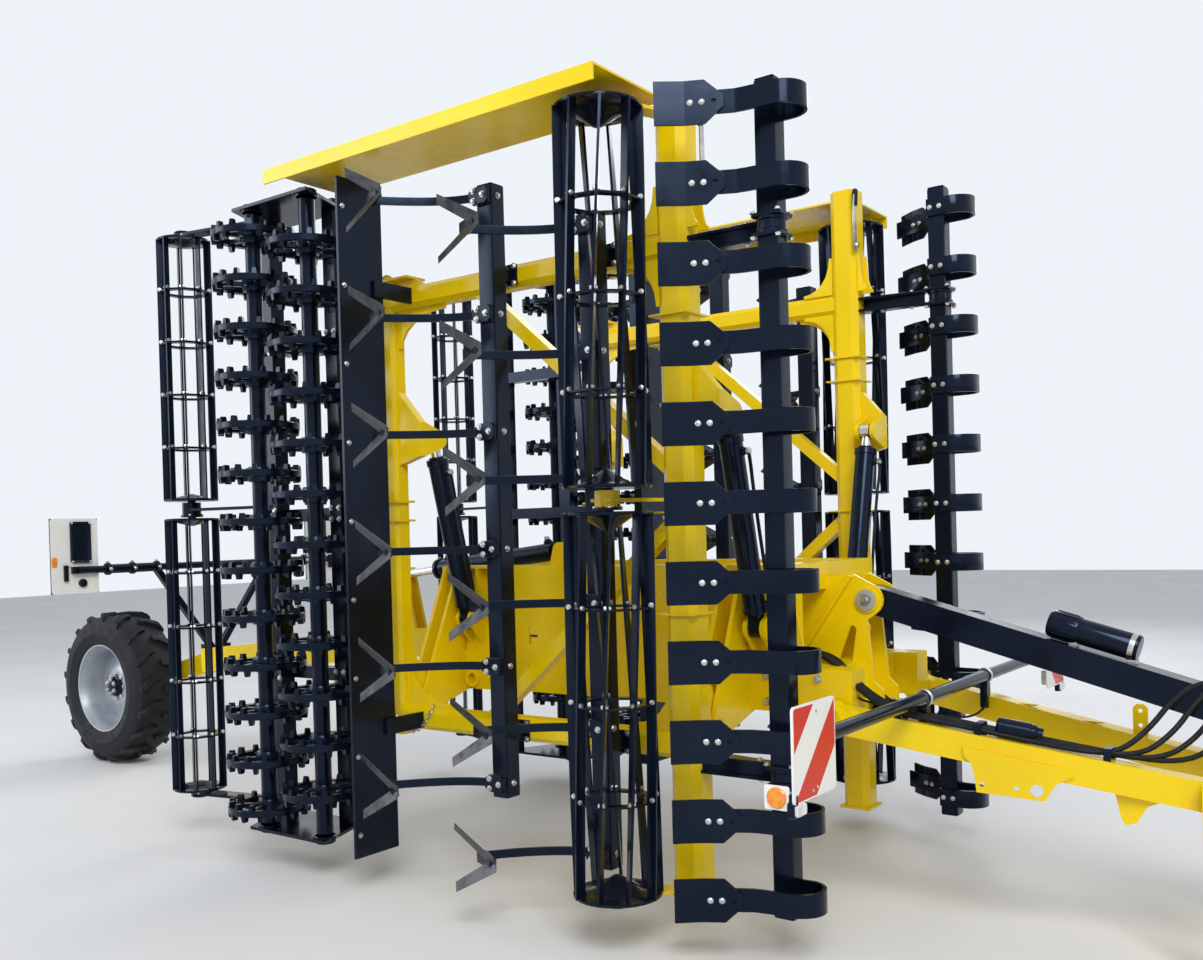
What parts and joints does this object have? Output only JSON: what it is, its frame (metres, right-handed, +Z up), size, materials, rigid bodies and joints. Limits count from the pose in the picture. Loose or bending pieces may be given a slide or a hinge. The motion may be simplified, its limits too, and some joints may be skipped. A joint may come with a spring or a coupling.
{
  "type": "folded seedbed compactor",
  "caption": "Trailed seedbed compactor with its two wings folded upright: levellers, spring tines and rollers on yellow frames, long wheel arm behind",
  "frame": {"origin": "on the ground, below the middle of the overall box in plan", "axes": "+X forwards to the towing eye, +Y to the machine's left, +Z up"},
  "size_m": [8.371, 2.9, 3.0876],
  "materials": {
    "yellow_paint": "gloss",
    "black_paint": "gloss",
    "silver_paint": "satin",
    "rod_chrome": "polished",
    "tyre_rubber": "matte",
    "board_white": "satin"
  },
  "bodies": {
    "chassis": {"centre_frame": "yellow_paint", "cylinder_lugs": "yellow_paint", "headstock": "yellow_paint", "drawbar": "yellow_paint", "towing_eye": "black_paint", "strut": "black_paint", "warning_bar": "black_paint", "warning_boards": "board_white"},
    "wing_right": {"wing_frame_right": "yellow_paint", "rod_lugs_right": "yellow_paint", "wing_guard_right": "yellow_paint", "leveller_right": "black_paint", "tine_bars_right": "black_paint", "levelling_board_right": "black_paint", "rear_carrier_right": "black_paint"},
    "bar_roller_lower_right": {"bar_roller_lower_right": "black_paint"},
    "bar_roller_upper_right": {"bar_roller_upper_right": "black_paint"},
    "string_roller_lower_right": {"string_roller_lower_right": "black_paint"},
    "string_roller_upper_right": {"string_roller_upper_right": "black_paint"},
    "crosskill_rear_right": {"crosskill_rear_right": "black_paint"},
    "crosskill_front_right": {"crosskill_front_right": "black_paint"},
    "fold_barrel_rear_right": {"fold_barrel_rear_right": "black_paint"},
    "fold_rod_rear_right": {"fold_rod_rear_right": "rod_chrome"},
    "fold_barrel_front_right": {"fold_barrel_front_right": "black_paint"},
    "fold_rod_front_right": {"fold_rod_front_right": "rod_chrome"},
    "wing_left": {"wing_frame_left": "yellow_paint", "rod_lugs_left": "yellow_paint", "wing_guard_left": "yellow_paint", "leveller_left": "black_paint", "tine_bars_left": "black_paint", "levelling_board_left": "black_paint", "rear_carrier_left": "black_paint"},
    "bar_roller_lower_left": {"bar_roller_lower_left": "black_paint"},
    "bar_roller_upper_left": {"bar_roller_upper_left": "black_paint"},
    "string_roller_lower_left": {"string_roller_lower_left": "black_paint"},
    "string_roller_upper_left": {"string_roller_upper_left": "black_paint"},
    "crosskill_rear_left": {"crosskill_rear_left": "black_paint"},
    "crosskill_front_left": {"crosskill_front_left": "black_paint"},
    "fold_barrel_rear_left": {"fold_barrel_rear_left": "black_paint"},
    "fold_rod_rear_left": {"fold_rod_rear_left": "rod_chrome"},
    "fold_barrel_front_left": {"fold_barrel_front_left": "black_paint"},
    "fold_rod_front_left": {"fold_rod_front_left": "rod_chrome"},
    "wheel_arm": {"wheel_arm": "yellow_paint", "lamp_bar": "black_paint"},
    "wheel": {"tyre": "tyre_rubber", "rim": "silver_paint"},
    "lift_barrel": {"lift_barrel": "black_paint"},
    "lift_rod": {"lift_rod": "rod_chrome"},
    "stand_right": {"stand_right": "yellow_paint"},
    "stand_left": {"stand_left": "yellow_paint"}
  },
  "joints": [
    {"name": "wing_fold_right", "type": "hinge", "parent": "chassis", "child": "wing_right", "pos_m": [0.6885, -0.62, 0.75], "axis": [1, 0, 0], "range_deg": [0, 90]},
    {"name": "bar_roller_lower_spin_right", "type": "hinge", "parent": "wing_right", "child": "bar_roller_lower_right", "pos_m": [1.334, -1.084, 0.883], "axis": [0, 0, 1], "continuous": true},
    {"name": "bar_roller_upper_spin_right", "type": "hinge", "parent": "wing_right", "child": "bar_roller_upper_right", "pos_m": [1.334, -1.084, 2.328], "axis": [0, 0, 1], "continuous": true},
    {"name": "string_roller_lower_spin_right", "type": "hinge", "parent": "wing_right", "child": "string_roller_lower_right", "pos_m": [-1.351, -0.962, 0.936], "axis": [0, 0, 1], "continuous": true},
    {"name": "string_roller_upper_spin_right", "type": "hinge", "parent": "wing_right", "child": "string_roller_upper_right", "pos_m": [-1.351, -0.962, 2.362], "axis": [0, 0, 1], "continuous": true},
    {"name": "crosskill_rear_spin_right", "type": "hinge", "parent": "wing_right", "child": "crosskill_rear_right", "pos_m": [-0.625, -1.09, 1.595], "axis": [0, 0, 1], "continuous": true},
    {"name": "crosskill_front_spin_right", "type": "hinge", "parent": "wing_right", "child": "crosskill_front_right", "pos_m": [-0.245, -1.09, 1.595], "axis": [0, 0, 1], "continuous": true},
    {"name": "fold_barrel_rear_swing_right", "type": "hinge", "parent": "chassis", "child": "fold_barrel_rear_right", "pos_m": [0.05, -0.45, 1.105], "axis": [1, 0, 0], "range_deg": [0, 92.34]},
    {"name": "fold_rod_rear_slide_right", "type": "slide", "parent": "fold_barrel_rear_right", "child": "fold_rod_rear_right", "axis": [0, -0.2356, 0.9719], "range_m": [0, 0.5554]},
    {"name": "fold_barrel_front_swing_right", "type": "hinge", "parent": "chassis", "child": "fold_barrel_front_right", "pos_m": [1.58, -0.45, 1.105], "axis": [1, 0, 0], "range_deg": [0, 92.34]},
    {"name": "fold_rod_front_slide_right", "type": "slide", "parent": "fold_barrel_front_right", "child": "fold_rod_front_right", "axis": [0, -0.2356, 0.9719], "range_m": [0, 0.5554]},
    {"name": "wing_fold_left", "type": "hinge", "parent": "chassis", "child": "wing_left", "pos_m": [0.6885, 0.62, 0.75], "axis": [-1, 0, 0], "range_deg": [0, 90]},
    {"name": "bar_roller_lower_spin_left", "type": "hinge", "parent": "wing_left", "child": "bar_roller_lower_left", "pos_m": [1.334, 1.084, 0.883], "axis": [0, 0, 1], "continuous": true},
    {"name": "bar_roller_upper_spin_left", "type": "hinge", "parent": "wing_left", "child": "bar_roller_upper_left", "pos_m": [1.334, 1.084, 2.328], "axis": [0, 0, 1], "continuous": true},
    {"name": "string_roller_lower_spin_left", "type": "hinge", "parent": "wing_left", "child": "string_roller_lower_left", "pos_m": [-1.351, 0.962, 0.936], "axis": [0, 0, 1], "continuous": true},
    {"name": "string_roller_upper_spin_left", "type": "hinge", "parent": "wing_left", "child": "string_roller_upper_left", "pos_m": [-1.351, 0.962, 2.362], "axis": [0, 0, 1], "continuous": true},
    {"name": "crosskill_rear_spin_left", "type": "hinge", "parent": "wing_left", "child": "crosskill_rear_left", "pos_m": [-0.625, 1.09, 1.595], "axis": [0, 0, 1], "continuous": true},
    {"name": "crosskill_front_spin_left", "type": "hinge", "parent": "wing_left", "child": "crosskill_front_left", "pos_m": [-0.245, 1.09, 1.595], "axis": [0, 0, 1], "continuous": true},
    {"name": "fold_barrel_rear_swing_left", "type": "hinge", "parent": "chassis", "child": "fold_barrel_rear_left", "pos_m": [0.05, 0.45, 1.105], "axis": [-1, 0, 0], "range_deg": [0, 92.34]},
    {"name": "fold_rod_rear_slide_left", "type": "slide", "parent": "fold_barrel_rear_left", "child": "fold_rod_rear_left", "axis": [0, 0.2356, 0.9719], "range_m": [0, 0.5554]},
    {"name": "fold_barrel_front_swing_left", "type": "hinge", "parent": "chassis", "child": "fold_barrel_front_left", "pos_m": [1.58, 0.45, 1.105], "axis": [-1, 0, 0], "range_deg": [0, 92.34]},
    {"name": "fold_rod_front_slide_left", "type": "slide", "parent": "fold_barrel_front_left", "child": "fold_rod_front_left", "axis": [0, 0.2356, 0.9719], "range_m": [0, 0.5554]},
    {"name": "wheel_arm_lift", "type": "hinge", "parent": "chassis", "child": "wheel_arm", "pos_m": [-0.37, 0, 0.96], "axis": [0, 1, 0], "range_deg": [0, 20]},
    {"name": "wheel_spin", "type": "hinge", "parent": "wheel_arm", "child": "wheel", "pos_m": [-3.67, 0, 0.515], "axis": [0, 1, 0], "continuous": true},
    {"name": "lift_barrel_swing", "type": "hinge", "parent": "chassis", "child": "lift_barrel", "pos_m": [0.28, 0, 1.412], "axis": [0, 1, 0], "range_deg": [0, 7.39]},
    {"name": "lift_rod_slide", "type": "slide", "parent": "lift_barrel", "child": "lift_rod", "axis": [-0.9941, 0, -0.1083], "range_m": [-0.1482, 0]},
    {"name": "stand_swing_right", "type": "hinge", "parent": "chassis", "child": "stand_right", "pos_m": [3.13, -0.307, 0.592], "axis": [0, -1, 0], "range_deg": [0, 95]},
    {"name": "stand_swing_left", "type": "hinge", "parent": "chassis", "child": "stand_left", "pos_m": [3.13, 0.307, 0.592], "axis": [0, -1, 0], "range_deg": [0, 95]}
  ],
  "couplings": [
    {"joint": "fold_barrel_rear_swing_right", "follows": "wing_fold_right", "ratio": 1.0254},
    {"joint": "fold_rod_rear_slide_right", "follows": "wing_fold_right", "m_per_rad": 0.35328},
    {"joint": "fold_barrel_front_swing_right", "follows": "wing_fold_right", "ratio": 1.0254},
    {"joint": "fold_rod_front_slide_right", "follows": "wing_fold_right", "m_per_rad": 0.35328},
    {"joint": "fold_barrel_rear_swing_left", "follows": "wing_fold_left", "ratio": 1.0254},
    {"joint": "fold_rod_rear_slide_left", "follows": "wing_fold_left", "m_per_rad": 0.35328},
    {"joint": "fold_barrel_front_swing_left", "follows": "wing_fold_left", "ratio": 1.0254},
    {"joint": "fold_rod_front_slide_left", "follows": "wing_fold_left", "m_per_rad": 0.35328},
    {"joint": "lift_barrel_swing", "follows": "wheel_arm_lift", "ratio": 0.36599},
    {"joint": "lift_rod_slide", "follows": "wheel_arm_lift", "m_per_rad": -0.423}
  ]
}
